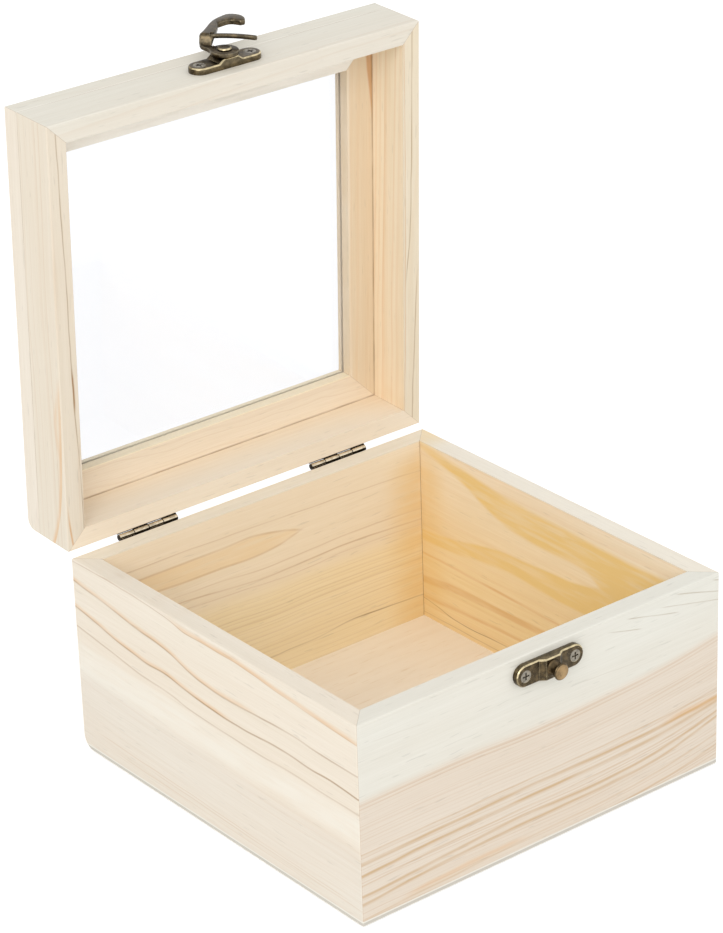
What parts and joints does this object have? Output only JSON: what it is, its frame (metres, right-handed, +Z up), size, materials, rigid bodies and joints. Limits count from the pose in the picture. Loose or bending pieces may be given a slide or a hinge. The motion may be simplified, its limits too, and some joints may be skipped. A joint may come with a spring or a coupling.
{
  "type": "hinged display case",
  "caption": "Square pine display case with a glazed hinged lid, barrel hinges at the back and a swing-hook latch at the front.",
  "frame": {"origin": "centre of the underside of the base", "axes": "+Z up, +X along the front face to the right as seen from the front, +Y towards the hinges at the back"},
  "size_m": [0.15, 0.1819, 0.231],
  "materials": {
    "pine": "sanded, unfinished",
    "plywood": "sanded, unfinished",
    "glass": "clear",
    "bronze": "dark aged bronze"
  },
  "bodies": {
    "base": {"base_front_wall": "pine", "base_right_wall": "pine", "base_back_wall": "pine", "base_left_wall": "pine", "base_bottom_panel": "plywood", "hinge_left_base_leaf": "bronze", "hinge_right_base_leaf": "bronze", "hinge_left_pin": "bronze", "hinge_right_pin": "bronze", "hinge_base_screws": "bronze", "catch_plate": "bronze", "catch_peg": "bronze", "catch_plate_screws": "bronze"},
    "lid": {"lid_front_rail": "pine", "lid_right_rail": "pine", "lid_back_rail": "pine", "lid_left_rail": "pine", "window_frame_front": "pine", "window_frame_right": "pine", "window_frame_back": "pine", "window_frame_left": "pine", "window_glass": "glass", "hinge_left_lid_leaf": "bronze", "hinge_right_lid_leaf": "bronze", "hinge_lid_screws": "bronze", "hook_plate": "bronze", "hook_rivet": "bronze", "hook_plate_screws": "bronze"},
    "hook": {"swing_hook": "bronze"}
  },
  "joints": [
    {"name": "lid_hinge", "type": "hinge", "parent": "base", "child": "lid", "pos_m": [0, 0.0761, 0.07095], "axis": [1, 0, 0], "range_deg": [0, 88]},
    {"name": "hook_swing", "type": "hinge", "parent": "lid", "child": "hook", "pos_m": [0.0005, 0.07948, 0.22196], "axis": [0, 0.0349, -0.9994], "range_deg": [0, 135]}
  ]
}
